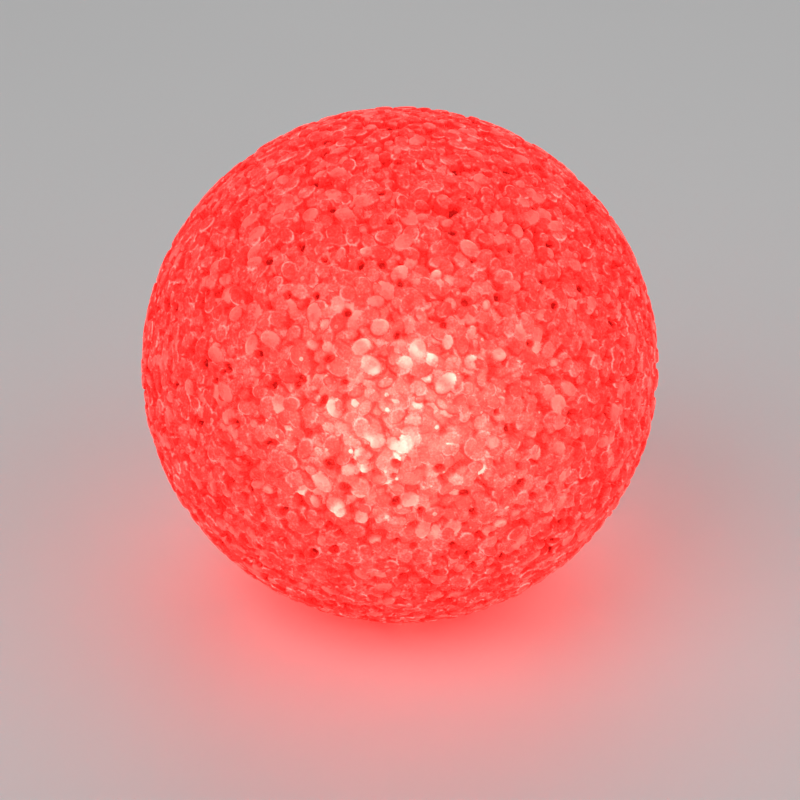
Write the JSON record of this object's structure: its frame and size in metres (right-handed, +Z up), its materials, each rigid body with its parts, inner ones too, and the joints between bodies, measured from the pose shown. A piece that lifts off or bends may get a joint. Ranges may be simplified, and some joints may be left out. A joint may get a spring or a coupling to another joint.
{
  "type": "floating pool light",
  "caption": "Glowing hollow ball of fused translucent granules over a sealed, battery-powered light capsule with a turn-to-open battery cap and a push button underneath.",
  "frame": {"origin": "centre of the plane the four feet rest on, under the middle of the ball", "axes": "+Z up through the ball, +X from the middle towards the push button, -Y the viewed front"},
  "size_m": [0.1198, 0.1198, 0.1151],
  "materials": {
    "base_housing": "moulded ABS, fine satin grain",
    "battery_cap": "moulded ABS, fine satin grain",
    "battery_cell": "nickel-plated can",
    "board_screw": "plated steel",
    "button_seal": "black nitrile rubber",
    "cap_seal": "black nitrile rubber",
    "capacitor": "sleeved aluminium can",
    "circuit_board": "green solder mask",
    "contact_spring": "nickel-plated wire",
    "controller_chip": "moulded epoxy",
    "diffuser_dome": "frosted, light-spreading plastic",
    "dome_seal": "black nitrile rubber",
    "foot_pad": "soft white rubber",
    "granule_globe": "fused translucent granules, glowing red",
    "led_blue": "clear epoxy, unlit",
    "led_green": "clear epoxy, unlit",
    "led_red": "clear tinted epoxy, lit",
    "negative_contact": "nickel plate",
    "positive_contact": "plated spring brass",
    "power_button": "red silicone-covered",
    "reflector": "white moulded plastic",
    "resistor": "ceramic chip",
    "switch_board": "green solder mask",
    "switch_plunger": "moulded nylon",
    "switch_screw": "plated steel",
    "switch_wire_a": "red insulated wire",
    "switch_wire_b": "black insulated wire",
    "tact_switch": "moulded nylon"
  },
  "bodies": {
    "body": {"base_housing": "base_housing", "battery_cell_1": "battery_cell", "battery_cell_2": "battery_cell", "battery_cell_3": "battery_cell", "board_screw_1": "board_screw", "board_screw_2": "board_screw", "board_screw_3": "board_screw", "board_screw_4": "board_screw", "button_seal": "button_seal", "capacitor": "capacitor", "circuit_board": "circuit_board", "controller_chip": "controller_chip", "diffuser_dome": "diffuser_dome", "dome_seal": "dome_seal", "foot_pad_1": "foot_pad", "foot_pad_2": "foot_pad", "foot_pad_3": "foot_pad", "foot_pad_4": "foot_pad", "granule_globe": "granule_globe", "led_blue": "led_blue", "led_green": "led_green", "led_red": "led_red", "negative_contact": "negative_contact", "positive_contact": "positive_contact", "reflector": "reflector", "resistor_1": "resistor", "resistor_2": "resistor", "resistor_3": "resistor", "switch_board": "switch_board", "switch_screw_1": "switch_screw", "switch_screw_2": "switch_screw", "switch_wire_a": "switch_wire_a", "switch_wire_b": "switch_wire_b", "tact_switch": "tact_switch"},
    "battery_door": {"battery_cap": "battery_cap", "cap_seal": "cap_seal", "contact_spring": "contact_spring"},
    "button": {"power_button": "power_button", "switch_plunger": "switch_plunger"}
  },
  "joints": [
    {"name": "cap_twist", "type": "hinge", "parent": "body", "child": "battery_door", "pos_m": [-0.007, 0, 0.002], "axis": [0, 0, -1], "range_deg": [0, 40]},
    {"name": "power_press", "type": "slide", "parent": "body", "child": "button", "axis": [0, 0, 1], "range_m": [0, 0.0012], "stiffness_N_per_m": 800, "springref_m": -0.0003}
  ]
}
